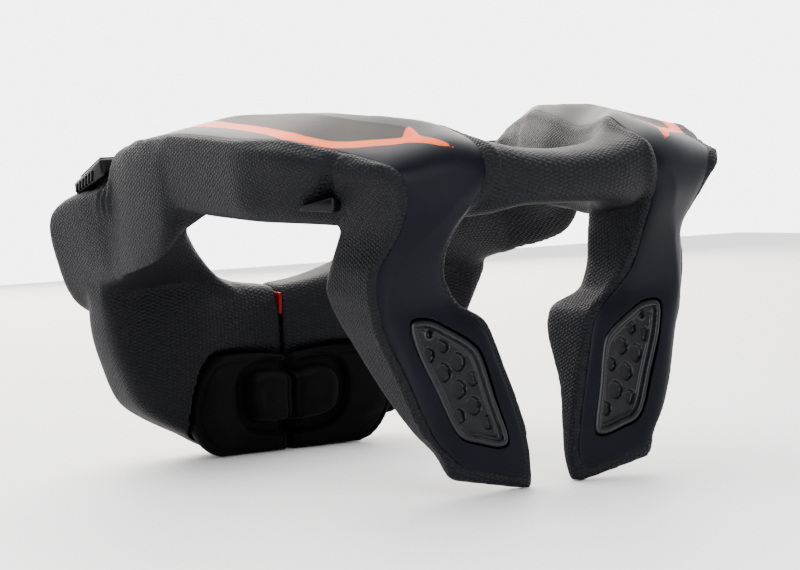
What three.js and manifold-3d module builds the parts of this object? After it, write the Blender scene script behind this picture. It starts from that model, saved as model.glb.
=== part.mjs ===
// Motocross neck brace, in millimetres, +Z up.
// It is modelled level, with the neck at the origin, the chest toward +Y and the wearer's back toward -Y.
// The right side is drawn, and the left is its mirror image in the plane X = 0.
import * as THREE from 'three';
import { mergeVertices } from 'three/addons/utils/BufferGeometryUtils.js';
import Module from 'manifold-3d';

const wasm = await Module();
wasm.setup();

// Driving sizes of the whole brace
const HALF_WIDTH = 125; // middle plane to the platform's outer wall
const LENGTH = 280; // back of the bridge to the front of the chest
const HEIGHT = 185; // hem of the chest to the crest of the platforms
const LOFT_POINTS = 16; // points round each section of the foam
const CREST = -0.58; // ridge of the platform's top, between its neck side (-1) and its outer wall (1)

// Hard shell
const SHELL_WALL = 2.4;
const SHELL_RIM = 2.5; // foam left beside the shell on the leg
const SOLE_RIM = 4.5; // foam left below it
const LID_FOOT = 0.412; // share of HEIGHT, lowest point of the shell over the platform
const FIT_GAP = 0.3; // clearance between pieces that touch
const SHELL_TUCK = 6; // depth of the region that takes the shell from the leg's back face

// Leg insert
const INSERT_THICKNESS = 5;
const INSERT_SINK = 0.8; // insert's rim below the shell's face
const INSERT_RIM = 3.4;
const DISH_DEPTH = 1.4; // recess inside the insert's rim
const DIMPLE_DEPTH = 0.8;
const DIMPLE_WIDTH = 8.2;
const DIMPLE_PITCH = 12; // along the leg
const DIMPLE_SIDES = 6;
const DIMPLE_STRETCH = 1.12; // height over width
const DIMPLE_EDGE = 0.6; // floor left between a cut dimple and the rim

// Chest pads
const PAD_FACE = 0.414; // share of LENGTH, body side of the pad's outer band
const PAD_BACK = 0.459;
const PAD_BLOCK_RISE = 6; // inner block over the outer band
const PAD_BAND = 20; // width of the outer band
const PAD_HEM = 0.55; // share of that width at the pad's foot
const PAD_CHANNEL = 8; // width of the channel between band and block
const PAD_CHANNEL_DEPTH = 5;

// Latch, levers and clips
const LATCH = { width: 14, depth: 10, height: 11, tabWidth: 1.8, tabDepth: 14 };
const LEVER = { length: 30, width: 12, thickness: 7, slope: 24, ribs: 6, ribDepth: 1.2 };
const CLIP = { length: 17, width: 8, thickness: 7, noseShare: 0.35 };

const SOLE_FLAT = 1.5; // taken off at the lowest points, so that the brace stands flat

// The foam's main loft, from the bridge round the side to the chest.
// X is a share of HALF_WIDTH, Y of LENGTH and heights of HEIGHT. The slips move the foot outward.
const RING_COLUMNS = ['innerX', 'innerY', 'outerX', 'outerY', 'innerTop', 'outerTop',
  'innerFoot', 'outerFoot', 'innerSlip', 'outerSlip', 'crown', 'vault', 'square'];
const RING_TABLE = [
  [-0.01, -0.314, -0.01, -0.440, 0.438, 0.432, 0.314, 0.308, 0.024, -0.03, 0.003, 0, 2.6], // past the middle
  [0.15, -0.309, 0.16, -0.439, 0.446, 0.441, 0.314, 0.308, 0.024, -0.03, 0.005, 0, 2.6], // bridge
  [0.29, -0.286, 0.32, -0.436, 0.459, 0.456, 0.276, 0.297, 0.016, -0.07, 0.015, 0, 3.2], // bridge at the leg
  [0.37, -0.246, 0.50, -0.424, 0.462, 0.458, 0.250, 0.300, 0, -0.16, 0.050, 0, 5], // over the leg, inner
  [0.42, -0.200, 0.73, -0.384, 0.457, 0.427, 0.240, 0.290, 0, -0.20, 0.070, 0, 6], // horn
  [0.46, -0.154, 0.86, -0.304, 0.451, 0.430, 0.238, 0.270, 0, -0.19, 0.076, 0, 6], // behind the nub
  [0.49, -0.104, 0.99, -0.210, 0.447, 0.455, 0.240, 0.272, 0, -0.12, 0.076, 0, 6], // nub
  [0.51, -0.046, 1.02, -0.118, 0.446, 0.462, 0.240, 0.270, 0, -0.05, 0.072, 0, 6], // platform, rear
  [0.55, 0.014, 1.02, -0.014, 0.446, 0.466, 0.246, 0.268, 0.01, -0.05, 0.064, 0, 6], // platform, middle
  [0.58, 0.050, 1.02, 0.042, 0.446, 0.464, 0.250, 0.262, 0.015, -0.05, 0.058, 0.02, 6], // platform, arch end
  [0.61, 0.079, 1.02, 0.082, 0.446, 0.459, 0.252, 0.160, 0.02, -0.05, 0.053, 0.055, 6], // platform, step
  [0.67, 0.143, 1.02, 0.154, 0.440, 0.449, 0.255, 0.103, 0.03, -0.05, 0.038, 0.055, 6], // platform, front
  [0.71, 0.200, 1.01, 0.232, 0.415, 0.435, 0.260, 0.063, 0.016, -0.04, 0.020, 0.04, 6], // platform, front end
  [0.70, 0.240, 0.99, 0.300, 0.360, 0.410, 0.255, 0.043, 0.008, -0.04, 0.008, 0.02, 6], // platform, end
  [0.69, 0.252, 0.99, 0.318, 0.290, 0.330, 0.230, 0.038, 0, -0.05, 0.005, 0, 5], // notch
  [0.65, 0.293, 1.01, 0.355, 0.215, 0.325, 0.160, 0.028, 0, -0.07, 0.030, 0, 4], // bulge, lever seat
  [0.57, 0.339, 1.03, 0.424, 0.165, 0.318, 0.100, -0.010, -0.016, -0.11, 0.055, 0, 3.6], // bulge, top
  [0.45, 0.389, 1.04, 0.520, 0.097, 0.275, 0.045, -0.070, -0.032, -0.15, 0.050, 0, 3.4], // bulge, corner
  [0.34, 0.425, 0.87, 0.550, 0.049, 0.184, -0.010, -0.110, -0.048, -0.12, 0.011, 0, 3], // bulge, front
  [0.21, 0.454, 0.56, 0.550, 0.011, 0.076, -0.060, -0.120, -0.064, -0.12, 0.005, 0, 3], // in the chest
];

// The leg, from inside the platform down to the sole, in the same shares.
// The back corners are the shell's edges, and the foam stands SHELL_RIM beyond them.
const LEG_COLUMNS = ['outerZ', 'innerZ', 'outerBackX', 'outerBackY', 'innerBackX', 'innerBackY',
  'innerFrontX', 'innerFrontY', 'outerFrontX', 'outerFrontY', 'square'];
const LEG_TABLE = [
  [0.422, 0.446, 0.73, -0.380, 0.35, -0.420, 0.38, -0.268, 0.82, -0.300, 6], // inside the platform
  [0.392, 0.405, 0.73, -0.390, 0.34, -0.438, 0.37, -0.254, 0.82, -0.296, 6], // under the horn
  [0.362, 0.362, 0.67, -0.400, 0.38, -0.433, 0.38, -0.243, 0.79, -0.275, 6], // upper back
  [0.308, 0.308, 0.65, -0.382, 0.42, -0.401, 0.39, -0.236, 0.74, -0.243, 6], // upper waist
  [0.251, 0.251, 0.64, -0.355, 0.44, -0.369, 0.39, -0.232, 0.70, -0.214, 6], // waist
  [0.205, 0.205, 0.66, -0.336, 0.45, -0.352, 0.38, -0.236, 0.69, -0.193, 6], // lower waist
  [0.151, 0.151, 0.70, -0.324, 0.44, -0.338, 0.38, -0.239, 0.68, -0.171, 6], // knee, rear lip
  [0.103, 0.103, 0.70, -0.326, 0.40, -0.331, 0.36, -0.243, 0.69, -0.164, 6], // knee
  [0.068, 0.068, 0.69, -0.330, 0.35, -0.326, 0.34, -0.243, 0.67, -0.164, 6], // over the toe
  [0.027, 0.027, 0.68, -0.335, 0.25, -0.338, 0.21, -0.232, 0.66, -0.182, 6], // toe
  [-0.022, -0.022, 0.65, -0.340, 0.22, -0.345, 0.185, -0.238, 0.63, -0.200, 6], // under the toe
  [-0.086, -0.086, 0.61, -0.352, 0.19, -0.352, 0.17, -0.264, 0.60, -0.229, 6], // insert, upper
  [-0.162, -0.162, 0.57, -0.362, 0.155, -0.360, 0.145, -0.304, 0.556, -0.264, 6], // insert, lower
  [-0.232, -0.243, 0.52, -0.370, 0.125, -0.368, 0.12, -0.325, 0.505, -0.300, 6], // shank
  [-0.292, -0.325, 0.46, -0.379, 0.107, -0.374, 0.108, -0.336, 0.44, -0.325, 5], // sole, upper
  [-0.338, -0.386, 0.445, -0.383, 0.105, -0.381, 0.11, -0.354, 0.43, -0.350, 5], // sole
];

// The chest half, from its outer edge to the split, in the same shares. Lean moves the hem to the body.
const CHEST_COLUMNS = ['x', 'bodyY', 'frontY', 'top', 'foot', 'lean', 'square'];
const CHEST_TABLE = [
  [0.925, 0.372, 0.432, 0.080, 0.000, 0.000, 3], // outer edge, under the bulge
  [0.865, 0.366, 0.460, 0.086, -0.125, 0.020, 3.4], // outer edge
  [0.805, 0.385, 0.490, 0.090, -0.210, 0.008, 4], // side
  [0.720, 0.400, 0.522, 0.097, -0.308, -0.008, 5], // outer quarter
  [0.608, 0.400, 0.543, 0.097, -0.373, -0.014, 5], // outer side of the ridge
  [0.464, 0.404, 0.546, 0.076, -0.416, -0.014, 5], // ridge
  [0.320, 0.421, 0.550, 0.035, -0.454, -0.018, 5], // pad, middle
  [0.160, 0.441, 0.554, 0.003, -0.470, -0.021, 5], // inner quarter
  [0.005, 0.454, 0.554, -0.011, -0.473, -0.025, 5], // split
];

// Outlines of the right side, closed curves through a few points: X and Y for the shell, else X and Z
const TOP_TABLE = [
  [0.30, -0.480], // past the back edge
  [0.30, -0.432], // inner corner
  [0.36, -0.346], // neck side, rear
  [0.42, -0.264], // neck side
  [0.48, -0.186], // neck side, middle
  [0.54, -0.107], // neck side, front
  [0.59, -0.029], // inner flank
  [0.65, 0.046], // inner flank, front
  [0.70, 0.114], // toward the tip
  [0.76, 0.179], // tip, inner
  [0.83, 0.229], // tip
  [0.90, 0.236], // tip, outer
  [0.95, 0.200], // outer corner
  [0.97, 0.129], // rim, front
  [0.97, 0.000], // rim, middle
  [0.965, -0.100], // rim, rear
  [0.93, -0.165], // notch for the nub
  [0.87, -0.213], // deepest point of that notch
  [0.80, -0.265], // behind the nub
  [0.765, -0.325], // root of the horn
  [0.735, -0.378], // horn, outer
  [0.71, -0.440], // past the horn
  [0.67, -0.480], // past the back edge, outer
];
const INSERT_TABLE = [
  [0.565, 0.038], // top, outer corner
  [0.485, 0.044], // top edge
  [0.400, 0.017], // top edge, middle
  [0.313, -0.019], // top, inner corner
  [0.273, -0.056], // inner edge, upper
  [0.234, -0.160], // inner edge
  [0.197, -0.254], // foot, inner corner
  [0.231, -0.276], // foot
  [0.319, -0.264], // foot, middle
  [0.419, -0.235], // foot, outer corner
  [0.492, -0.128], // outer edge
  [0.551, -0.032], // outer edge, upper
];
const PAD_TABLE = [
  [0.018, -0.225], // top, at the split
  [0.040, -0.204], // top, inner corner
  [0.160, -0.195], // top edge
  [0.310, -0.190], // top edge, outer
  [0.400, -0.205], // top, outer corner
  [0.450, -0.270], // outer edge, upper
  [0.472, -0.335], // outer edge
  [0.456, -0.389], // outer edge, lower
  [0.400, -0.438], // foot, outer corner
  [0.310, -0.462], // foot
  [0.160, -0.470], // foot, middle
  [0.040, -0.467], // foot, inner corner
  [0.018, -0.445], // foot, at the split
  [0.012, -0.335], // split
];

// Places, in the same shares
const INSERT_SEAT = { y: -0.3396, lean: 10.8 }; // leg's back face at height 0, and its slope in degrees
const DIMPLE_SEAT = { x: 0.426, z: -0.018, stepX: -0.056, stepZ: -0.0435, skewX: 0.0096 };
const LEVER_SEAT = { x: 0.92, y: 0.386, z: 0.322 };
const CLIP_SEAT = { x: 0.82, y: -0.250, z: 0.322, turn: 60 };
const LATCH_SEAT = { y: 0.497, z: -0.058, tabY: 0.479 };

// Named rows from a table
function rows(columns, table) {
  return table.map((row) => Object.fromEntries(columns.map((name, index) => [name, row[index]])));
}

const ring = rows(RING_COLUMNS, RING_TABLE);
const leg = rows(LEG_COLUMNS, LEG_TABLE);
const chest = rows(CHEST_COLUMNS, CHEST_TABLE);

// A closed mesh as a solid, a solid as a mesh geometry, and a solid's mirror image
function solidOf(geometry) {
  const bare = new THREE.BufferGeometry();
  bare.setAttribute('position', geometry.getAttribute('position').clone());
  if (geometry.index) {
    bare.setIndex(geometry.index.clone());
  }
  const merged = mergeVertices(bare, 1e-4);
  const vertProperties = Float32Array.from(merged.getAttribute('position').array);
  const triVerts = Uint32Array.from(merged.index.array);
  return new wasm.Manifold(new wasm.Mesh({ numProp: 3, vertProperties, triVerts }));
}

function geometryOf(solid) {
  const mesh = solid.getMesh();
  const geometry = new THREE.BufferGeometry();
  geometry.setAttribute('position', new THREE.BufferAttribute(Float32Array.from(mesh.vertProperties), 3));
  geometry.setIndex(new THREE.BufferAttribute(Uint32Array.from(mesh.triVerts), 1));
  geometry.computeVertexNormals();
  return geometry;
}

function mirrored(solid) {
  const geometry = geometryOf(solid);
  geometry.scale(-1, 1, 1);
  const index = Array.from(geometry.index.array);
  for (let first = 0; first < index.length; first += 3) {
    [index[first + 1], index[first + 2]] = [index[first + 2], index[first + 1]];
  }
  geometry.setIndex(index);
  return solidOf(geometry);
}

// Signed power, which rounds a section to a superellipse
function bend(value, square) {
  return Math.sign(value) * Math.abs(value) ** (2 / square);
}

// One section: a quadrilateral of four corners, rounded, with its top crowned and its underside vaulted
function section(corners, square, crown = 0, vault = 0) {
  const points = [];
  for (let step = 0; step < LOFT_POINTS; step += 1) {
    const angle = ((step + 0.5) / LOFT_POINTS) * 2 * Math.PI;
    const across = bend(Math.cos(angle), square);
    const up = bend(Math.sin(angle), square);
    const foot = corners.innerFoot.clone().lerp(corners.outerFoot, (across + 1) / 2);
    const top = corners.innerTop.clone().lerp(corners.outerTop, (across + 1) / 2);
    const point = foot.lerp(top, (up + 1) / 2);
    point.z += crown * Math.max(up, 0) * Math.min((1 + across) / (1 + CREST), (1 - across) / (1 - CREST));
    point.z += vault * Math.max(-up, 0) * (1 - across ** 2);
    points.push(point);
  }
  return points;
}

// A closed skin through sections with the same number of points, capped at both ends
function loft(sections) {
  const count = sections[0].length;
  const points = sections.flat();
  const faces = [];
  for (let row = 0; row + 1 < sections.length; row += 1) {
    for (let step = 0; step < count; step += 1) {
      const a = row * count + step;
      const b = row * count + ((step + 1) % count);
      faces.push([a, b, b + count], [a, b + count, a + count]);
    }
  }
  const ends = [[0, -1], [sections.length - 1, 1]];
  for (const [row, sense] of ends) {
    const centre = new THREE.Vector3();
    sections[row].forEach((point) => centre.add(point));
    points.push(centre.divideScalar(count));
    for (let step = 0; step < count; step += 1) {
      const a = row * count + step;
      const b = row * count + ((step + 1) % count);
      faces.push(sense > 0 ? [a, b, points.length - 1] : [b, a, points.length - 1]);
    }
  }
  const volume = faces.reduce((sum, [a, b, c]) => (
    sum + points[a].dot(points[b].clone().cross(points[c])) / 6), 0);
  const index = faces.flatMap(([a, b, c]) => (volume > 0 ? [a, b, c] : [a, c, b]));
  const geometry = new THREE.BufferGeometry().setFromPoints(points);
  geometry.setIndex(index);
  return solidOf(geometry);
}

// Sections of the foam. A skin above zero grows them by that much, and below zero shrinks them.
function ringSection(row, skin) {
  const inner = new THREE.Vector3(row.innerX * HALF_WIDTH, row.innerY * LENGTH, 0);
  const outer = new THREE.Vector3(row.outerX * HALF_WIDTH, row.outerY * LENGTH, 0);
  const outward = outer.clone().sub(inner).normalize();
  const corner = (base, height, slip, sense) => base.clone()
    .addScaledVector(outward, slip * HALF_WIDTH + sense * skin)
    .setZ(height);
  const corners = {
    innerTop: corner(inner, row.innerTop * HEIGHT + skin, 0, -1),
    outerTop: corner(outer, row.outerTop * HEIGHT + skin, 0, 1),
    innerFoot: corner(inner, row.innerFoot * HEIGHT - skin, row.innerSlip, -1),
    outerFoot: corner(outer, row.outerFoot * HEIGHT - skin, row.outerSlip, 1),
  };
  return section(corners, row.square, row.crown * HEIGHT, row.vault * HEIGHT);
}

function ringSolid(skin) {
  return loft(ring.map((row) => ringSection(row, skin)));
}

function legSection(row, skin) {
  const place = (x, y, z, sideways, backward) => new THREE.Vector3(
    x * HALF_WIDTH + sideways * (SHELL_RIM + skin),
    y * LENGTH + backward * skin,
    z * HEIGHT,
  );
  const corners = {
    innerTop: place(row.innerBackX, row.innerBackY, row.innerZ, -1, -1),
    outerTop: place(row.outerBackX, row.outerBackY, row.outerZ, 1, -1),
    innerFoot: place(row.innerFrontX, row.innerFrontY, row.innerZ, -1, 1),
    outerFoot: place(row.outerFrontX, row.outerFrontY, row.outerZ, 1, 1),
  };
  return section(corners, row.square);
}

function legSolid(skin) {
  const sections = leg.map((row) => legSection(row, skin));
  sections[0].forEach((point) => {
    point.z += skin;
  });
  sections.at(-1).forEach((point) => {
    point.z -= skin;
  });
  return loft(sections);
}

function chestSection(row) {
  const place = (y, z, lean) => new THREE.Vector3(
    row.x * HALF_WIDTH,
    (y + lean) * LENGTH,
    z * HEIGHT,
  );
  const corners = {
    innerTop: place(row.bodyY, row.top, 0),
    outerTop: place(row.frontY, row.top, 0),
    innerFoot: place(row.bodyY, row.foot, row.lean),
    outerFoot: place(row.frontY, row.foot, row.lean),
  };
  return section(corners, row.square);
}

// A closed outline through a table's points, which are first moved outward by grow
function outline(points, grow, count) {
  const turn = Math.sign(THREE.ShapeUtils.area(points));
  const normal = (from, to) => new THREE.Vector2(to.y - from.y, from.x - to.x).normalize().multiplyScalar(turn);
  const moved = points.map((point, index) => {
    const before = normal(points.at(index - 1), point);
    const after = normal(point, points[(index + 1) % points.length]);
    const mitre = before.clone().add(after).normalize();
    const reach = grow / Math.max(mitre.dot(after), 0.5);
    return new THREE.Vector3(point.x + mitre.x * reach, point.y + mitre.y * reach, 0);
  });
  const samples = new THREE.CatmullRomCurve3(moved, true).getPoints(count).slice(0, count);
  return new THREE.Shape(samples.map(({ x, y }) => new THREE.Vector2(x, y)));
}

function extruded(shape, depth) {
  return new THREE.ExtrudeGeometry(shape, { depth, bevelEnabled: false, curveSegments: 12 });
}

// The region of the foam's outer skin that the hard shell takes up
function shellRegion(grow) {
  const plan = TOP_TABLE.map(([x, y]) => ({ x: x * HALF_WIDTH, y: y * LENGTH }));
  const lid = extruded(outline(plan, grow, 46), HEIGHT * 0.3);
  lid.translate(0, 0, HEIGHT * LID_FOOT - grow);
  const reach = SHELL_TUCK + SHELL_WALL;
  const sections = leg.map((row, index) => {
    const end = index + 1 === leg.length ? SOLE_RIM - grow : 0;
    const place = (x, y, z, sideways, depth) => new THREE.Vector3(
      x * HALF_WIDTH + sideways * grow,
      y * LENGTH + depth,
      z * HEIGHT + end,
    );
    return [
      place(row.innerBackX, row.innerBackY, row.innerZ, -1, -reach * 3),
      place(row.outerBackX, row.outerBackY, row.outerZ, 1, -reach * 3),
      place(row.outerBackX, row.outerBackY, row.outerZ, 1, reach + grow),
      place(row.innerBackX, row.innerBackY, row.innerZ, -1, reach + grow),
    ];
  });
  return solidOf(lid).add(loft(sections));
}

// The insert lies in the slope of the leg's back face
const insertFrame = new THREE.Matrix4().makeRotationX(THREE.MathUtils.degToRad(90 - INSERT_SEAT.lean));
insertFrame.setPosition(0, INSERT_SEAT.y * LENGTH, 0);

function insertBlank(grow, from, to) {
  const plan = INSERT_TABLE.map(([x, z]) => ({ x: x * HALF_WIDTH, y: z * HEIGHT }));
  const geometry = extruded(outline(plan, grow, 24), to - from);
  geometry.translate(0, 0, from);
  geometry.applyMatrix4(insertFrame);
  return solidOf(geometry);
}

function dimple(column, row) {
  const x = DIMPLE_SEAT.x + column * DIMPLE_SEAT.stepX + row * DIMPLE_SEAT.skewX;
  const height = (DIMPLE_SEAT.z + column * DIMPLE_SEAT.stepZ) * HEIGHT - row * DIMPLE_PITCH;
  const radius = DIMPLE_WIDTH / 2;
  const geometry = new THREE.CylinderGeometry(radius, radius, 2 * (DISH_DEPTH + DIMPLE_DEPTH), DIMPLE_SIDES);
  geometry.rotateX(Math.PI / 2);
  geometry.scale(1, DIMPLE_STRETCH, 1);
  geometry.translate(x * HALF_WIDTH, height, -INSERT_SINK);
  geometry.applyMatrix4(insertFrame);
  return solidOf(geometry);
}

function insertSolid() {
  const floor = -INSERT_SINK - DISH_DEPTH;
  const well = insertBlank(-INSERT_RIM - DIMPLE_EDGE, floor - DIMPLE_DEPTH, 1);
  let result = insertBlank(0, -INSERT_SINK - INSERT_THICKNESS, -INSERT_SINK)
    .subtract(insertBlank(-INSERT_RIM, floor, 1));
  for (let column = -1; column <= 3; column += 1) {
    for (let row = 0; row <= 2; row += 1) {
      result = result.subtract(dimple(column, row).intersect(well));
    }
  }
  return result;
}

// A plate with the pad's outline, which can be moved toward the split and up
function padBlank(grow, inset, from, to) {
  const plan = PAD_TABLE.map(([x, z]) => ({
    x: x * HALF_WIDTH - inset,
    y: z * HEIGHT + inset * PAD_HEM,
  }));
  const geometry = extruded(outline(plan, grow, 30), to - from);
  geometry.rotateX(Math.PI / 2);
  geometry.translate(0, to, 0);
  return solidOf(geometry);
}

function padSolid() {
  const face = PAD_FACE * LENGTH;
  const back = PAD_BACK * LENGTH;
  const top = face - PAD_BLOCK_RISE;
  const block = padBlank(0, 0, top, back).intersect(padBlank(0, PAD_BAND, top, back));
  const channel = padBlank(1, PAD_BAND - PAD_CHANNEL, face - 1, face + PAD_CHANNEL_DEPTH);
  return padBlank(0, 0, face, back).subtract(channel).add(block);
}

// The plane under the brace, through the soles of the legs and the hem of the chest
const sole = leg.at(-1);
const hem = chest.at(-1);
const soleY = (sole.innerBackY + sole.innerFrontY) / 2 * LENGTH;
const hemY = (hem.bodyY + hem.lean) * LENGTH;
const restTilt = Math.atan2((sole.innerZ - hem.foot) * HEIGHT, hemY - soleY);
const restDrop = (sole.innerZ * HEIGHT * Math.cos(restTilt)) + soleY * Math.sin(restTilt);

function underFloor(rise) {
  const size = LENGTH * 2;
  const box = new THREE.BoxGeometry(size, size, HEIGHT);
  box.translate(0, 0, restDrop + rise - HEIGHT / 2);
  box.rotateX(-restTilt);
  return solidOf(box);
}

// The lever is drawn with its length along Y and its thickness along Z
function leverSolid(grow) {
  const half = LEVER.length / 2 + grow;
  const thick = LEVER.thickness / 2 + grow;
  const nose = LEVER.thickness * 0.45;
  const shape = new THREE.Shape();
  shape.moveTo(-half + nose, -thick);
  shape.lineTo(half - nose, -thick);
  shape.quadraticCurveTo(half, -thick, half, 0);
  shape.quadraticCurveTo(half, thick, half - nose, thick);
  shape.lineTo(-half + nose / 2, thick);
  shape.lineTo(-half, thick - nose / 2);
  shape.lineTo(-half, -thick + nose);
  shape.closePath();
  const bar = extruded(shape, LEVER.width + 2 * grow);
  bar.rotateY(Math.PI / 2);
  bar.rotateX(Math.PI / 2);
  bar.center();
  let result = solidOf(bar);
  const pitch = LEVER.length * 0.7 / LEVER.ribs;
  const grooves = grow > 0 ? 0 : LEVER.ribs;
  for (let rib = 0; rib < grooves; rib += 1) {
    const groove = new THREE.BoxGeometry(LEVER.ribDepth * 2, pitch / 2, LEVER.thickness * 0.62);
    groove.rotateX(Math.PI / 6);
    groove.translate(LEVER.width / 2, (rib - (LEVER.ribs - 1) / 2) * pitch, 0);
    result = result.subtract(solidOf(groove));
  }
  const placed = geometryOf(result);
  placed.rotateX(-THREE.MathUtils.degToRad(LEVER.slope));
  placed.translate(LEVER_SEAT.x * HALF_WIDTH, LEVER_SEAT.y * LENGTH, LEVER_SEAT.z * HEIGHT);
  return solidOf(placed);
}

function clipSolid(grow) {
  const half = CLIP.length / 2 + grow;
  const thick = CLIP.thickness / 2 + grow;
  const nose = CLIP.length * CLIP.noseShare;
  const shape = new THREE.Shape();
  shape.moveTo(-half, -thick);
  shape.lineTo(half - nose, -thick);
  shape.quadraticCurveTo(half, -thick, half, -thick / 2);
  shape.quadraticCurveTo(half - nose, thick * 0.6, -half * 0.2, thick);
  shape.lineTo(-half, thick);
  shape.closePath();
  const bar = extruded(shape, CLIP.width + 2 * grow);
  bar.rotateX(Math.PI / 2);
  bar.center();
  bar.rotateZ(THREE.MathUtils.degToRad(CLIP_SEAT.turn));
  bar.translate(CLIP_SEAT.x * HALF_WIDTH, CLIP_SEAT.y * LENGTH, CLIP_SEAT.z * HEIGHT);
  return solidOf(bar);
}

// A block inside the chest, with a thin tab that shows in the split
function latchSolid(grow) {
  const block = new THREE.BoxGeometry(LATCH.width + 2 * grow, LATCH.depth + 2 * grow, LATCH.height + 2 * grow);
  block.translate(0, LATCH_SEAT.y * LENGTH, LATCH_SEAT.z * HEIGHT);
  const tab = new THREE.BoxGeometry(LATCH.tabWidth + 2 * grow, LATCH.tabDepth + 2 * grow, LATCH.height + 2 * grow);
  tab.translate(0, LATCH_SEAT.tabY * LENGTH, LATCH_SEAT.z * HEIGHT);
  return solidOf(block).add(solidOf(tab));
}

// The shell is the foam's outer skin inside its region. A cutter is a little thicker on every side.
function shellSolid(grow) {
  const skin = ringSolid(grow * 3).add(legSolid(grow * 3));
  const core = ringSolid(-SHELL_WALL - grow).add(legSolid(-SHELL_WALL - grow));
  return skin.subtract(core).intersect(shellRegion(grow));
}

// Assembly
const model = new THREE.Group();
const levelled = new THREE.Group();
levelled.rotation.x = restTilt;
model.add(levelled);

const LOOKS = {
  foam: { color: 0x3a3b44, roughness: 0.85, metalness: 0 },
  shell: { color: 0x24262f, roughness: 0.45, metalness: 0 },
  rubber: { color: 0x2a2a30, roughness: 0.6, metalness: 0 },
  pad: { color: 0x0d0d12, roughness: 0.95, metalness: 0 },
  latch: { color: 0x8a1010, roughness: 0.5, metalness: 0 },
  plastic: { color: 0x16171c, roughness: 0.5, metalness: 0 },
  grey: { color: 0x6d6b70, roughness: 0.5, metalness: 0 },
};

function addPiece(name, solid, look) {
  const mesh = new THREE.Mesh(geometryOf(solid), new THREE.MeshStandardMaterial(LOOKS[look]));
  mesh.name = name;
  levelled.add(mesh);
}

function addPair(name, solid, look) {
  addPiece(`${name}_left`, mirrored(solid), look);
  addPiece(`${name}_right`, solid, look);
}

const seats = [
  shellSolid(FIT_GAP),
  insertBlank(FIT_GAP, -INSERT_SINK - INSERT_THICKNESS - FIT_GAP, INSERT_THICKNESS),
  padBlank(FIT_GAP, 0, 0, PAD_BACK * LENGTH + FIT_GAP),
  leverSolid(FIT_GAP),
  clipSolid(FIT_GAP),
];
const rightSide = ringSolid(0).add(legSolid(0)).add(loft(chest.map(chestSection)));
let foam = rightSide.add(mirrored(rightSide))
  .subtract(underFloor(SOLE_FLAT))
  .subtract(latchSolid(FIT_GAP));
for (const seat of seats) {
  foam = foam.subtract(seat).subtract(mirrored(seat));
}
addPiece('foam_frame', foam, 'foam');
addPiece('closure_latch', latchSolid(0), 'latch');
addPair('shell', shellSolid(0).subtract(insertBlank(FIT_GAP, -INSERT_THICKNESS * 2, INSERT_THICKNESS)), 'shell');
addPair('leg_insert', insertSolid(), 'rubber');
addPair('chest_pad', padSolid().subtract(underFloor(SOLE_FLAT)), 'pad');
addPair('side_lever', leverSolid(0), 'plastic');
addPair('side_clip', clipSolid(0), 'grey');

// The origin is under the middle of the brace, on the surface it stands on
model.updateMatrixWorld(true);
const bounds = new THREE.Box3().setFromObject(model, true);
const middle = bounds.getCenter(new THREE.Vector3());
levelled.position.set(-middle.x, -middle.y, -bounds.min.z);
model.updateMatrixWorld(true);

export default model;
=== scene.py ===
"""Motocross neck brace: the dressed pieces, their finishes and the studio around them."""

import math
from collections import namedtuple

import bmesh
import bpy
import numpy as np
from bpy.props import FloatProperty, FloatVectorProperty, IntProperty, PointerProperty
from mathutils import Matrix, Vector
from mathutils.bvhtree import BVHTree


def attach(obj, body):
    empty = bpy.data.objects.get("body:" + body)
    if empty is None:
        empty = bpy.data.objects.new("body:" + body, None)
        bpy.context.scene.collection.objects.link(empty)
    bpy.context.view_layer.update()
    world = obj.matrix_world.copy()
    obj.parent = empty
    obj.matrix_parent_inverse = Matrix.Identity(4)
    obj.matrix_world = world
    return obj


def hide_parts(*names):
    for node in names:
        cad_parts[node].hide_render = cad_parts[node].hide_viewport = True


bl_info = {
    "name": "Motocross Neck Brace",
    "version": (1, 0, 0),
    "blender": (4, 5, 0),
    "location": "View3D > Sidebar > Neck Brace",
    "description": "Builds the foam body, shells, inserts, cushions and fasteners of a neck brace",
    "category": "Object",
}

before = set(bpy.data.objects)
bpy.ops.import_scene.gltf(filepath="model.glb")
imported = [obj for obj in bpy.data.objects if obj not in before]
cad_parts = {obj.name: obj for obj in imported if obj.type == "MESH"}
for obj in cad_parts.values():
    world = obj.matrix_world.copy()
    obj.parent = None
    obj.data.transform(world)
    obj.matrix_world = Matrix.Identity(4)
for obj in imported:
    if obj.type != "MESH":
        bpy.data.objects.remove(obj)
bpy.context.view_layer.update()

# Driving sizes in millimetres, in the level frame with the neck at the origin
HALF_WIDTH = 125.0
LENGTH = 280.0
HEIGHT = 185.0
# Where the crown peaks across a ring section, from -1 at the neck to 1 outside
CREST = -0.58
REST_TILT = math.radians(4.127789)
REST_PLACE = Vector((0.0, -14.2117, 77.1316))
SIDES = {"left": -1, "right": 1}

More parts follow.
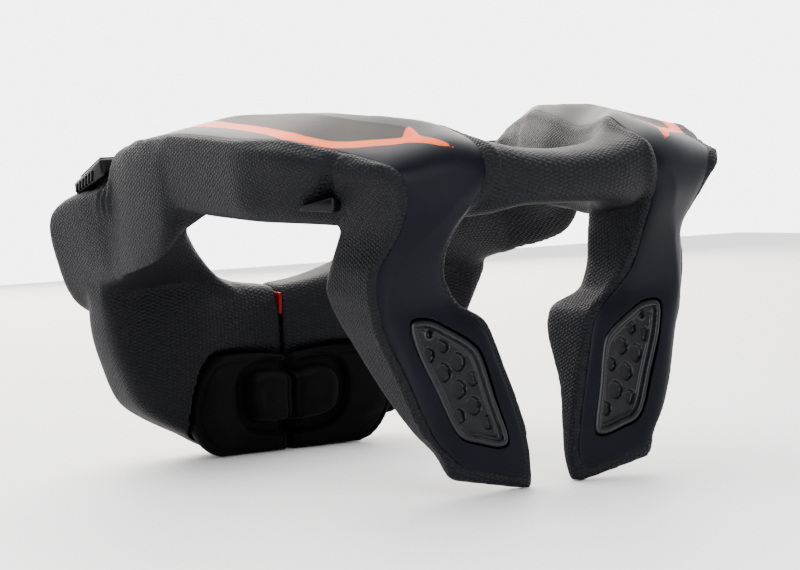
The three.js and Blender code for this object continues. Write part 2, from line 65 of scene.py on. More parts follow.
# Sections round the ring, from past the middle of the bridge to the split, in shares of the sizes above
RingRow = namedtuple("RingRow", "inner_x inner_y outer_x outer_y inner_top outer_top inner_foot outer_foot"
                                " inner_lean outer_lean crown vault square")
RING = (
    (-0.06, -0.314, -0.06, -0.440, 0.438, 0.432, 0.314, 0.308, 0.024, -0.03, 0.003, 0, 2.6),
    (0.15, -0.309, 0.16, -0.439, 0.446, 0.441, 0.314, 0.308, 0.024, -0.03, 0.005, 0, 2.6),
    (0.29, -0.286, 0.32, -0.436, 0.459, 0.456, 0.276, 0.297, 0.016, -0.07, 0.015, 0, 3.2),
    (0.37, -0.246, 0.50, -0.424, 0.462, 0.458, 0.250, 0.300, 0, -0.16, 0.050, 0, 5),
    (0.42, -0.200, 0.73, -0.384, 0.457, 0.427, 0.240, 0.290, 0, -0.20, 0.070, 0, 6),
    (0.46, -0.154, 0.86, -0.304, 0.451, 0.430, 0.238, 0.270, 0, -0.19, 0.076, 0, 6),
    (0.49, -0.104, 0.99, -0.210, 0.447, 0.455, 0.240, 0.272, 0, -0.12, 0.076, 0, 6),
    (0.51, -0.046, 1.02, -0.118, 0.446, 0.462, 0.240, 0.270, 0, -0.05, 0.072, 0, 6),
    (0.55, 0.014, 1.02, -0.014, 0.446, 0.466, 0.246, 0.268, 0.01, -0.05, 0.064, 0, 6),
    (0.61, 0.084, 1.02, 0.092, 0.446, 0.462, 0.250, 0.262, 0.015, -0.05, 0.058, 0.02, 6),
    (0.64, 0.108, 1.02, 0.119, 0.444, 0.456, 0.252, 0.160, 0.02, -0.05, 0.053, 0.055, 6),
    (0.67, 0.143, 1.02, 0.154, 0.440, 0.449, 0.255, 0.103, 0.03, -0.05, 0.038, 0.055, 6),
    (0.71, 0.200, 1.01, 0.232, 0.415, 0.435, 0.260, 0.063, 0.016, -0.04, 0.020, 0.04, 6),
    (0.70, 0.240, 0.99, 0.300, 0.360, 0.410, 0.255, 0.043, 0.008, -0.04, 0.008, 0.02, 6),
    (0.69, 0.252, 0.99, 0.318, 0.290, 0.330, 0.230, 0.038, 0, -0.05, 0.005, 0, 5),
    (0.65, 0.293, 1.01, 0.355, 0.215, 0.325, 0.160, 0.028, 0, -0.07, 0.030, 0, 4),
    (0.57, 0.339, 1.03, 0.424, 0.165, 0.318, 0.100, -0.010, -0.016, -0.11, 0.055, 0, 3.6),
    (0.45, 0.389, 1.04, 0.520, 0.097, 0.275, 0.045, -0.070, -0.032, -0.15, 0.050, 0, 3.4),
    (0.34, 0.425, 0.87, 0.550, 0.049, 0.184, -0.010, -0.110, -0.048, -0.12, 0.011, 0, 3),
    (0.21, 0.454, 0.56, 0.550, 0.011, 0.076, -0.060, -0.120, -0.064, -0.12, 0.005, 0, 3),
)
# Sections down the leg, in the same shares
LegRow = namedtuple("LegRow", "outer_height inner_height back_outer_x back_outer_y back_inner_x back_inner_y"
                              " front_inner_x front_inner_y front_outer_x front_outer_y square")
LEG = (
    (0.422, 0.446, 0.73, -0.380, 0.35, -0.420, 0.38, -0.268, 0.82, -0.300, 6),
    (0.392, 0.405, 0.73, -0.390, 0.34, -0.438, 0.37, -0.254, 0.82, -0.296, 6),
    (0.362, 0.362, 0.67, -0.400, 0.38, -0.433, 0.38, -0.243, 0.79, -0.275, 6),
    (0.308, 0.308, 0.65, -0.382, 0.42, -0.401, 0.39, -0.236, 0.74, -0.243, 6),
    (0.251, 0.251, 0.64, -0.355, 0.44, -0.369, 0.39, -0.232, 0.70, -0.214, 6),
    (0.205, 0.205, 0.66, -0.336, 0.45, -0.352, 0.38, -0.236, 0.69, -0.193, 6),
    (0.151, 0.151, 0.70, -0.324, 0.44, -0.338, 0.38, -0.239, 0.68, -0.171, 6),
    (0.103, 0.103, 0.70, -0.326, 0.40, -0.331, 0.36, -0.243, 0.69, -0.164, 6),
    (0.068, 0.068, 0.69, -0.330, 0.35, -0.326, 0.34, -0.243, 0.67, -0.164, 6),
    (0.027, 0.027, 0.68, -0.335, 0.25, -0.338, 0.21, -0.232, 0.66, -0.182, 6),
    (-0.022, -0.022, 0.65, -0.340, 0.22, -0.345, 0.185, -0.238, 0.63, -0.200, 6),
    (-0.086, -0.086, 0.61, -0.352, 0.19, -0.352, 0.17, -0.264, 0.60, -0.229, 6),
    (-0.162, -0.162, 0.57, -0.362, 0.155, -0.360, 0.145, -0.304, 0.556, -0.264, 6),
    (-0.232, -0.243, 0.52, -0.370, 0.125, -0.368, 0.12, -0.325, 0.505, -0.300, 6),
    (-0.292, -0.325, 0.46, -0.379, 0.107, -0.374, 0.108, -0.336, 0.44, -0.325, 5),
    (-0.338, -0.386, 0.445, -0.383, 0.105, -0.381, 0.11, -0.354, 0.43, -0.350, 5),
)
# Sections of the chest half, from its outer end to the split
ChestRow = namedtuple("ChestRow", "x body_side front_side top foot lean square")
CHEST = (
    (0.925, 0.372, 0.432, 0.080, 0.000, 0.000, 3),
    (0.865, 0.366, 0.460, 0.086, -0.125, 0.020, 3.4),
    (0.805, 0.385, 0.490, 0.090, -0.210, 0.008, 4),
    (0.720, 0.400, 0.522, 0.097, -0.308, -0.008, 5),
    (0.608, 0.400, 0.543, 0.097, -0.358, -0.014, 5),
    (0.464, 0.404, 0.546, 0.076, -0.406, -0.014, 5),
    (0.320, 0.421, 0.550, 0.035, -0.454, -0.018, 5),
    (0.160, 0.441, 0.554, 0.003, -0.470, -0.021, 5),
    (0.005, 0.454, 0.554, -0.011, -0.473, -0.025, 5),
)
# Shell over the platform: distance forward, neck-side edge, outer edge, in millimetres
SHELL_PLAN = (
    (66.0, 107.0, 111.0),
    (65.2, 104.6, 113.4),
    (63.5, 102.4, 115.2),
    (60.0, 99.8, 117.4),
    (55.0, 97.4, 119.2),
    (49.0, 94.6, 120.3),
    (32.0, 87.5, 121.2),
    (13.0, 81.2, 121.3),
    (-8.0, 73.8, 121.2),
    (-28.0, 67.6, 120.8),
    (-40.0, 64.0, 118.5),
    (-50.0, 60.6, 114.0),
    (-60.0, 57.5, 108.5),
    (-74.0, 52.6, 100.5),
    (-86.0, 48.2, 96.4),
    (-96.0, 45.0, 94.0),
)
FOLD = Vector((0.0, -96.0, 68.0))
# Printed stripe, the arm that turns in at its rear end, and the panel between them, as closed outlines
STRIPE = (
    (104.0, 44.0), (98.3, 27.8), (101.8, 1.4), (102.9, -20.4), (104.2, -41.9), (101.7, -56.8), (96.5, -67.3),
    (89.7, -75.1), (78.5, -84.9), (66.7, -93.7), (58.8, -102.1), (64.7, -100.6), (79.2, -92.9), (92.4, -82.2),
    (100.5, -73.3), (106.5, -64.2), (111.8, -54.0), (111.6, -34.5), (110.6, -13.3), (110.2, 7.6),
    (110.9, 27.2), (108.5, 44.0),
)
STRIPE_ARM = ((62.4, -80.5), (65.0, -81.5), (72.5, -90.0), (66.0, -96.5))
PANEL = (
    (64.3, -80.4), (72.2, -62.3), (78.0, -41.5), (79.5, -20.0), (82.5, 0.0), (86.0, 20.0), (90.5, 36.0),
    (97.0, 46.0), (103.0, 44.0), (99.5, 27.8), (103.0, 1.4), (104.0, -20.4), (105.5, -41.9), (103.0, -56.8),
    (97.8, -67.3), (91.0, -75.1), (80.0, -84.9), (68.0, -92.5),
)
# Depth inside the stripe and the panel, in millimetres, that the artwork map spans, and the print's soft edge
ARTWORK_SPAN = 100.0
PRINT_EDGE = 0.12
# Ridge down the leg's back: height, x
LEG_RIDGE = ((83.0, 52.2), (76.0, 54.2), (65.0, 59.4), (52.0, 65.4), (40.0, 74.5), (27.0, 80.0), (10.0, 84.5),
             (-70.0, 52.0))
RIDGE_HEIGHT = 2.6
INSERT = (
    (0.565, 0.038), (0.485, 0.044), (0.400, 0.017), (0.313, -0.019), (0.273, -0.056), (0.234, -0.160),
    (0.197, -0.254), (0.231, -0.276), (0.319, -0.264), (0.419, -0.235), (0.492, -0.128), (0.551, -0.032),
)
# Foam that stands out past the shell on each side of the leg
LEG_RIM = 2.5
INSERT_LEAN = math.radians(10.8)
INSERT_DEPTH = -0.3396
PAD = (
    (0.018, -0.225), (0.040, -0.204), (0.160, -0.195), (0.310, -0.190), (0.400, -0.205), (0.450, -0.270),
    (0.472, -0.335), (0.456, -0.389), (0.400, -0.438), (0.310, -0.462), (0.160, -0.470), (0.040, -0.467),
    (0.018, -0.445), (0.012, -0.335),
)
# Front edge of the leg's foam, which stands over the platform's wall
LEG_EDGE = ((105.5, -84.0, 79.0), (103.8, -82.0, 74.0), (101.8, -79.4, 69.5), (98.6, -75.2, 63.0),
            (98.5, -76.5, 50.0))
PLEAT_CENTRE = np.array((108.0, 90.0, 53.0))
LEVER_SEAT = Vector((0.92, 0.386, 0.322))
CLIP_SEAT = Vector((0.82, -0.250, 0.322))
LATCH_SEAT = Vector((0.0, 0.479, -0.058))
# Raised block in the middle of the two cushions, as the right cushion sees it, in millimetres
PAD_BLOCK = (
    (2, -46), (14, -44.5), (22.5, -45.5), (27, -50), (27, -60), (23.5, -67), (14, -69.5), (2, -70.5),
    (-6, -70), (-6, -46),
)
PAD_BACK = 128.4
PAD_THICKNESS = 11.0
PAD_BLANK_SCALE = 1.05
PAD_MOST_MOVE = 0.004
# Hexagonal cells of the insert, in its plane: first centre, step to the next column and row, half sizes
CELL_START = np.array((53.3, -3.4))
CELL_ACROSS = np.array((-7.0, -8.0))
CELL_ALONG = np.array((1.2, -12.0))
CELL_HALF = (3.75, 4.1)
CELL_DEPTH = 1.6
PIN_PLACE = (60.4, 1.8)
INSERT_FLOOR = -1.5
INSERT_BACK = -6.5
# The photograph: its width in pixels, its focal length and shift in pixels, and how it sees the brace
PHOTO_WIDTH = 800
PHOTO_FOCAL = 2700
PHOTO_SHIFT = (-21, 22)
PHOTO_TURN = math.radians(35)
PHOTO_DROP = math.radians(7)
PHOTO_DISTANCE = 1296
SENSOR_WIDTH = 36.0


def placed(point):
    """A point of the level frame, in millimetres, as it stands on the table, in metres."""
    return (Matrix.Rotation(REST_TILT, 3, "X") @ Vector(point) + REST_PLACE) / 1000


def rest_matrix():
    """What placed does, as a matrix."""
    return Matrix.Scale(0.001, 4) @ Matrix.Translation(REST_PLACE) @ Matrix.Rotation(REST_TILT, 4, "X")


def steady(rows, steps):
    """Rows of numbers with more rows between them, on curves that never overshoot."""
    table = np.array(rows, float)
    slope = np.diff(table, axis=0)
    turn = np.zeros_like(table)
    same = slope[1:] * slope[:-1] > 0
    total = np.where(same, slope[1:] + slope[:-1], 1)
    turn[1:-1] = np.where(same, 2 * slope[1:] * slope[:-1] / total, 0)
    turn[0], turn[-1] = slope[0], slope[-1]
    out = []
    for index in range(len(table) - 1):
        for step in range(steps):
            t = step / steps
            a, b = 2 * t**3 - 3 * t**2 + 1, t**3 - 2 * t**2 + t
            c, d = 3 * t**2 - 2 * t**3, t**3 - t**2
            out.append(a * table[index] + b * turn[index] + c * table[index + 1] + d * turn[index + 1])
    out.append(table[-1])
    return out


def bend(value, square):
    return math.copysign(abs(value) ** (2 / square), value)


def section(corners, square, crown=0.0, vault=0.0, count=48):
    """A rounded quadrilateral. Its corners are inner foot, outer foot, inner top and outer top."""
    points = []
    for step in range(count):
        angle = (step + 0.5) / count * 2 * math.pi
        across, up = bend(math.cos(angle), square), bend(math.sin(angle), square)
        foot = corners[0].lerp(corners[1], (across + 1) / 2)
        top = corners[2].lerp(corners[3], (across + 1) / 2)
        point = foot.lerp(top, (up + 1) / 2)
        point.z += crown * max(up, 0) * min((1 + across) / (1 + CREST), (1 - across) / (1 - CREST))
        point.z += vault * max(-up, 0) * (1 - across**2)
        points.append(point)
    return points


def ring_section(values):
    row = RingRow(*values)
    inner = Vector((row.inner_x * HALF_WIDTH, row.inner_y * LENGTH, 0))
    outer = Vector((row.outer_x * HALF_WIDTH, row.outer_y * LENGTH, 0))
    outward = (outer - inner).normalized() * HALF_WIDTH
    up = Vector((0, 0, HEIGHT))
    corners = (inner + outward * row.inner_lean + up * row.inner_foot,
               outer + outward * row.outer_lean + up * row.outer_foot,
               inner + up * row.inner_top, outer + up * row.outer_top)
    return section(corners, row.square, row.crown * HEIGHT, row.vault * HEIGHT)


def leg_section(values):
    row = LegRow(*values)

    def corner(x, y, height, sideways):
        return Vector((x * HALF_WIDTH + sideways * LEG_RIM, y * LENGTH, height * HEIGHT))

    corners = (corner(row.front_inner_x, row.front_inner_y, row.inner_height, -1),
               corner(row.front_outer_x, row.front_outer_y, row.outer_height, 1),
               corner(row.back_inner_x, row.back_inner_y, row.inner_height, -1),
               corner(row.back_outer_x, row.back_outer_y, row.outer_height, 1))
    return section(corners, row.square)


def chest_section(values):
    row = ChestRow(*values)

    def corner(y, height):
        return Vector((row.x * HALF_WIDTH, y * LENGTH, height * HEIGHT))

    corners = (corner(row.body_side + row.lean, row.foot), corner(row.front_side + row.lean, row.foot),
               corner(row.body_side, row.top), corner(row.front_side, row.top))
    return section(corners, row.square)


def grid_points(mesh, columns, rows, place):
    """Adds a grid whose vertex at (column, row) goes to place(column, row). Returns each vertex's pair."""
    made = {}
    for vertex in bmesh.ops.create_grid(mesh, x_segments=columns, y_segments=rows, size=1.0)["verts"]:
        made[vertex] = (round((vertex.co.x + 1) / 2 * columns), round((vertex.co.y + 1) / 2 * rows))
        vertex.co = place(*made[vertex])
    return made


def add_tube(mesh, sections):
    """A closed skin through sections with equal counts, capped at both ends."""
    count = len(sections[0])
    made = grid_points(mesh, count, len(sections) - 1, lambda column, row: sections[row][column % count])
    bmesh.ops.remove_doubles(mesh, verts=list(made), dist=1e-5)
    open_edges = [edge for edge in mesh.edges if edge.is_boundary]
    bmesh.ops.holes_fill(mesh, edges=open_edges, sides=0)


def add_part(whole, part):
    """Moves one mesh into another."""
    held = bpy.data.meshes.new("held")
    part.to_mesh(held)
    part.free()
    whole.from_mesh(held)
    bpy.data.meshes.remove(held)


def dress(thing, node):
    """Hangs a finished piece on the frame in place of its CAD node."""
    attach(thing, "root")
    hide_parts(node)


def new_object(name, mesh, material=None):
    data = bpy.data.meshes.new(name)
    mesh.to_mesh(data)
    mesh.free()
    thing = bpy.data.objects.new(name, data)
    bpy.context.scene.collection.objects.link(thing)
    if material:
        data.materials.append(material)
    return thing


def baked(thing):
    """The object with its modifiers applied."""
    graph = bpy.context.evaluated_depsgraph_get()
    fresh = bpy.data.meshes.new_from_object(thing.evaluated_get(graph), depsgraph=graph)
    old = thing.data
    thing.modifiers.clear()
    thing.data = fresh
    bpy.data.meshes.remove(old)
    fresh.name = thing.name


def modify(thing, kind, **values):
    """Adds a modifier with these settings."""
    made = thing.modifiers.new(kind.lower(), kind)
    for key, value in values.items():
        setattr(made, key, value)
    return made


def shade_smooth(thing, angle=None):
    for face in thing.data.polygons:
        face.use_smooth = True
    if angle:
        thing.data.set_sharp_from_angle(angle=math.radians(angle))


def curve_points(points, count):
    """A closed smooth curve through points of a plane, as count points."""
    corners = np.array(points, float)
    total = len(corners)
    out = []
    for step in range(count):
        place = step / count * total
        index, t = int(place), place - int(place)
        a, b, c, d = (corners[(index + shift) % total] for shift in (-1, 0, 1, 2))
        square, cube = 2 * a - 5 * b + 4 * c - d, 3 * b - a - 3 * c + d
        out.append(0.5 * (2 * b + (c - a) * t + square * t**2 + cube * t**3))
    return np.array(out)


def inside_depth(points, outline):
    """How far each point lies inside a closed outline, below zero outside it."""
    start, end = outline, np.roll(outline, -1, axis=0)
    along = end - start
    best = np.full(len(points), 1e9)
    crossings = np.zeros(len(points), int)
    for a, b, step in zip(start, end, along):
        t = np.clip(((points - a) @ step) / (step @ step), 0, 1)
        best = np.minimum(best, np.linalg.norm(points - a - t[:, None] * step, axis=1))
        crosses = (a[1] > points[:, 1]) != (b[1] > points[:, 1])
        with np.errstate(divide="ignore", invalid="ignore"):
            x = a[0] + (points[:, 1] - a[1]) / (b[1] - a[1]) * step[0]
        crossings += crosses & (points[:, 0] < x)
    return np.where(crossings % 2 == 1, best, -best)


def in_millimetres(shares):
    """Points of a plane from their shares of the half width and the height."""
    return [(x * HALF_WIDTH, z * HEIGHT) for x, z in shares]


def corners_of(grown):
    return [item for item in grown if isinstance(item, bmesh.types.BMVert)]


def prism(outline, place, shift):
    """A closed prism: its first face has its corners at place(x, z), and its second is moved by shift."""
    mesh = bmesh.new()
    ring = bmesh.ops.create_circle(mesh, segments=len(outline), radius=1.0, cap_ends=True)["verts"]
    for vertex, (x, z) in zip(ring, outline):
        vertex.co = place(x, z)
    grown = bmesh.ops.extrude_face_region(mesh, geom=mesh.faces[:])["geom"]
    bmesh.ops.translate(mesh, vec=shift, verts=corners_of(grown))
    return mesh


def soft_step(low, high, value):
    t = np.clip((np.asarray(value, float) - low) / (high - low), 0, 1)
    return t * t * (3 - 2 * t)


# Finishes


class Wire:
    """One shader value that can stand in a Python expression."""

    def __init__(self, finish, socket):
        self.finish, self.socket = finish, socket

    def _math(self, operation, *values):
        return self.finish.node("ShaderNodeMath", {"operation": operation}, dict(enumerate(values)))

    def __add__(self, other):
        return self._math("ADD", self, other)

    def __sub__(self, other):
        return self._math("SUBTRACT", self, other)

    def __mul__(self, other):
        return self._math("MULTIPLY", self, other)

    def __truediv__(self, other):
        return self._math("DIVIDE", self, other)

    def __radd__(self, other):
        return self._math("ADD", other, self)

    def __rsub__(self, other):
        return self._math("SUBTRACT", other, self)

    def __rmul__(self, other):
        return self._math("MULTIPLY", other, self)

    def __pow__(self, other):
        return self._math("POWER", self, other)

    def size(self):
        return self._math("ABSOLUTE", self)

    def cosine(self):
        return self._math("COSINE", self)

    def ramp(self, low, high):
        """0 below low and 1 above high, smooth between them."""
        return self.finish.node("ShaderNodeMapRange", {"interpolation_type": "SMOOTHSTEP"},
                                {"Value": self, "From Min": low, "From Max": high})


class Finish:
    """A material, or the surroundings, and the nodes that make it."""

    def __init__(self, name, kind="materials"):
        self.material = getattr(bpy.data, kind).new(name)
        self.material.use_nodes = True
        self.tree = self.material.node_tree
        self.tree.nodes.clear()

    def node(self, kind, settings=None, values=None, output=0):
        made = self.tree.nodes.new(kind)
        for key, value in (settings or {}).items():
            setattr(made, key, value)
        for key, value in (values or {}).items():
            if isinstance(value, Wire):
                self.tree.links.new(value.socket, made.inputs[key])
            else:
                made.inputs[key].default_value = value
        return Wire(self, made.outputs[output])

    def place(self):
        """Object coordinates in millimetres, as one wire and as three."""
        spot = self.node("ShaderNodeTexCoord", output="Object")
        grown = self.node("ShaderNodeVectorMath", {"operation": "SCALE"}, {0: spot, "Scale": 1000.0})
        return grown, self.split(grown)

    def split(self, vector):
        made = self.node("ShaderNodeSeparateXYZ", None, {0: vector})
        return [Wire(self, made.socket.node.outputs[index]) for index in range(3)]

    def blend(self, amount, low, high):
        made = self.tree.nodes.new("ShaderNodeMix")
        made.data_type = "RGBA"
        for key, value in ((0, amount), (6, low), (7, high)):
            if isinstance(value, Wire):
                self.tree.links.new(value.socket, made.inputs[key])
            else:
                made.inputs[key].default_value = value if key == 0 else tuple(value)[:3] + (1.0,)
        return Wire(self, made.outputs[2])

    def mottled(self, amount, values, gain):
        """A colour that grows gain times as bright where amount is 1."""
        return self.blend(amount, colour(values), colour(values, gain))

    def noise(self, vector, scale, detail=2.0, rough=0.5):
        return self.node("ShaderNodeTexNoise", None,
                         {"Vector": vector, "Scale": scale, "Detail": detail, "Roughness": rough})

    def bump(self, height, distance, strength):
        values = {"Height": height, "Distance": distance, "Strength": strength}
        return self.node("ShaderNodeBump", None, values)

    def done(self, **values):
        named = {key.replace("_", " ").title().replace("Ior", "IOR"): value for key, value in values.items()}
        surface = self.node("ShaderNodeBsdfPrincipled", None, named, output="BSDF")
        end = self.tree.nodes.new("ShaderNodeOutputMaterial")
        self.tree.links.new(surface.socket, end.inputs["Surface"])
        return self.material


def colour(values, gain=1.0):
    return (*(value * gain for value in tuple(values)[:3]), 1.0)


def scale_pattern(across, along, pitch):
    """Rows of rounded scales, each row half a scale out of step with the next."""
    turn = 2 * math.pi / pitch
    first = (across * turn).cosine()
    second = (across * (turn * 0.5) + along * (turn * 0.866)).cosine()
    third = (across * (turn * -0.5) + along * (turn * 0.866)).cosine()
    return (first + second + third) / 4.5 + 0.333


def foam_finish(settings):
    finish = Finish("moulded_foam")
    spot, (x, y, z) = finish.place()
    facing = finish.split(finish.node("ShaderNodeTexCoord", output="Normal"))
    weights = [axis.size() ** 5.0 for axis in facing]
    total = weights[0] + weights[1] + weights[2]
    pitch = settings.texture_pitch * 1000
    ripple = finish.noise(spot, 0.45, 2.0) * 2.4
    sheets = (scale_pattern(y + ripple, z, pitch), scale_pattern(x * 0.6 + ripple, z, pitch),
              scale_pattern(x + ripple, y, pitch))
    scales = (sheets[0] * weights[0] + sheets[1] * weights[1] + sheets[2] * weights[2]) / total
    cloud = finish.noise(spot, 0.035, 3.0)
    grain = finish.noise(spot, 2.2, 2.0)
    light = finish.mottled(cloud.ramp(0.3, 0.7), settings.foam_colour, 1.35)
    # Painted shade: the hollows between the scales take the foam colour at 0.55, and the scale tops take the
    # cloud-mottled colour
    shade = finish.blend(scales.ramp(0.05, 0.6), colour(settings.foam_colour, 0.55), light)
    return finish.done(
        base_color=shade,
        roughness=0.56 + grain * 0.12 - scales * 0.06,
        normal=finish.bump(scales + grain * 0.08, 0.0005, 0.9),
        specular_ior_level=0.34,
    )


def shell_finish(settings):
    finish = Finish("shell_plastic")
    spot, _ = finish.place()
    depth = finish.split(finish.node("ShaderNodeUVMap", {"uv_map": "artwork"}))
    stripe, panel = (((axis - 0.5) * ARTWORK_SPAN).ramp(-PRINT_EDGE, PRINT_EDGE) for axis in depth[:2])
    grain = finish.noise(spot, 1.6, 3.0)
    wear = finish.noise(spot, 0.05, 4.0, 0.6)
    base = finish.mottled(wear.ramp(0.35, 0.7), settings.shell_colour, 1.3)
    base = finish.blend(panel * 0.85, base, colour(settings.panel_colour))
    base = finish.blend(stripe, base, colour(settings.stripe_colour))
    return finish.done(
        base_color=base,
        roughness=0.38 + wear * 0.08 + grain * 0.05 + panel * 0.1,
        normal=finish.bump(grain + stripe * 0.6 + panel * 0.3, 0.00005, 0.5),
        specular_ior_level=0.2,
    )


def rubber_finish(settings):
    finish = Finish("insert_rubber")
    spot, _ = finish.place()
    grain = finish.noise(spot, 3.0, 2.0)
    dust = finish.noise(spot, 0.12, 4.0, 0.6)
    shade = finish.mottled(dust.ramp(0.4, 0.75), settings.rubber_colour, 1.5)
    return finish.done(base_color=shade, roughness=0.27 + grain * 0.12 + dust * 0.06,
                       normal=finish.bump(grain, 0.00008, 0.5))


def cover_finish(settings):
    finish = Finish("pad_cover")
    spot, (x, _, z) = finish.place()
    weave = (x * 5.2).cosine() * (z * 5.2).cosine() * 0.5 + 0.5
    fold = finish.noise(spot, 0.11, 4.0, 0.6)
    grain = finish.noise(spot, 2.5, 2.0)
    shade = finish.mottled(fold.ramp(0.35, 0.75), settings.pad_colour, 1.8)
    return finish.done(base_color=shade, roughness=0.72 - weave * 0.08,
                       normal=finish.bump(weave * 0.5 + grain * 0.4, 0.00015, 0.6),
                       specular_ior_level=0.16, sheen_weight=0.04, sheen_roughness=0.5)


def plastic_finish(name, tint, rough):
    finish = Finish(name)
    spot, _ = finish.place()
    grain = finish.noise(spot, 2.4, 3.0)
    smudge = finish.noise(spot, 0.2, 4.0, 0.6)
    shade = finish.mottled(smudge.ramp(0.35, 0.75), tint, 1.3)
    return finish.done(base_color=shade, roughness=rough + smudge * 0.1,
                       normal=finish.bump(grain, 0.00004, 0.5), specular_ior_level=0.3)


# Pieces


def body_tubes():
    """The foam's lofts on the right side as one mesh of overlapping closed skins, in millimetres."""
    mesh = bmesh.new()
    for sections in (
        [ring_section(row) for row in steady(RING, 5)],
        [leg_section(row) for row in steady(LEG, 4)],
        [chest_section(row) for row in steady(CHEST, 4)],
    ):
        part = bmesh.new()
        add_tube(part, sections)
        bmesh.ops.recalc_face_normals(part, faces=part.faces)
        add_part(mesh, part)
    bmesh.ops.triangulate(mesh, faces=[face for face in mesh.faces if len(face.verts) > 4])
    return mesh


def plan_row(table, value):
    """The other columns of a falling table at a value of its first column."""
    rows = np.array(table, float)[::-1]
    return [float(np.interp(value, rows[:, 0], rows[:, column])) for column in range(1, rows.shape[1])]


def shell_rows():
    """Rows of rays for the shell: start at its neck-side edge and at its outer edge, aim and plan mark."""
    rows = []
    ahead = [66.0, 65.6, 65.0, 64.0, 62.5, 60.5, 58.0, 55.0]
    ahead += [float(value) for value in np.linspace(52.0, FOLD.y, 50)]
    down = Vector((0, 0, -1))
    for y in ahead:
        inner, outer = plan_row(SHELL_PLAN, y)
        rows.append((Vector((inner, y, 150)), Vector((outer, y, 150)), down, y))
    leg = [LegRow(*row) for row in steady(LEG, 6)]
    heights = np.array([[(row.outer_height + row.inner_height) / 2 * HEIGHT, row.back_inner_x * HALF_WIDTH,
                         row.back_outer_x * HALF_WIDTH] for row in leg])
    inner0, outer0 = plan_row(SHELL_PLAN, FOLD.y)
    inner1, outer1 = plan_row(heights, FOLD.z)
    for step in range(1, 12):
        share = step / 12
        angle = share * math.pi / 2
        away = Vector((0, -math.sin(angle), math.cos(angle)))
        start = FOLD + away * 60
        ease = float(soft_step(0, 1, share))
        inner, outer = inner0 + (inner1 - inner0) * ease, outer0 + (outer1 - outer0) * ease
        rows.append((Vector((inner, start.y, start.z)), Vector((outer, start.y, start.z)), -away,
                     FOLD.y - 14 * share))
    for z in np.linspace(FOLD.z, -68.0, 52):
        inner, outer = plan_row(heights, z)
        end = float(soft_step(-45.0, -68.0, z))
        inner += 1.6 * float(soft_step(40.0, 20.0, z))
        outer -= 1.0 * float(soft_step(40.0, 20.0, z))
        corner = 3.6 * float(soft_step(-59.0, -68.0, z)) ** 3
        rows.append((Vector((inner + corner, -220, z + 2.4 * end)),
                     Vector((outer - corner, -220, z + 10.4 * end)),
                     Vector((0, 1, 0)), -110.0 - (FOLD.z - z)))
    return rows


def shell_grid(skin, columns=36):
    """The shell's outer face on the right side as an array of points, with its plan marks."""
    rows = shell_rows()
    points = np.zeros((len(rows), columns + 1, 3))
    marks = np.zeros((len(rows), columns + 1, 2))
    for index, (inner, outer, aim, mark) in enumerate(rows):
        for column in range(columns + 1):
            start = inner.lerp(outer, column / columns)
            hit = skin.ray_cast(start, aim)[0]
            if hit is None:
                hit = skin.find_nearest(start + aim * 60)[0]
            points[index, column] = hit
            marks[index, column] = (hit.x, hit.y if mark > FOLD.y - 1 else mark)
    fold = slice(52, 76)
    for _ in range(14):
        area = points[fold]
        points[fold][1:-1] = area[1:-1] * 0.5 + (area[2:] + area[:-2]) * 0.25
    for _ in range(4):
        points[1:-1] = points[1:-1] * 0.5 + (points[2:] + points[:-2]) * 0.25
    ridge = np.array(LEG_RIDGE)[::-1]
    for index, (inner, outer, aim, mark) in enumerate(rows):
        if mark > -106:
            continue
        width = points[index, -1, 0] - points[index, 0, 0]
        height = points[index, :, 2].mean()
        peak = (np.interp(height, ridge[:, 0], ridge[:, 1]) - points[index, 0, 0]) / width
        peak = float(np.clip(peak, 0.15, 0.97))
        share = (points[index, :, 0] - points[index, 0, 0]) / width
        shape = np.minimum(share / peak, (1 - share) / (1 - peak))
        amount = RIDGE_HEIGHT * float(soft_step(-108, -118, mark)) * float(soft_step(2, 34, height))
        points[index, :, 1] -= shape * amount
    flat = marks.reshape(-1, 2)
    stripe = np.maximum(inside_depth(flat, np.array(STRIPE)), inside_depth(flat, np.array(STRIPE_ARM)))
    panel = inside_depth(flat, np.array(PANEL))
    return points, np.stack([stripe, panel], axis=1).reshape(marks.shape) / ARTWORK_SPAN + 0.5


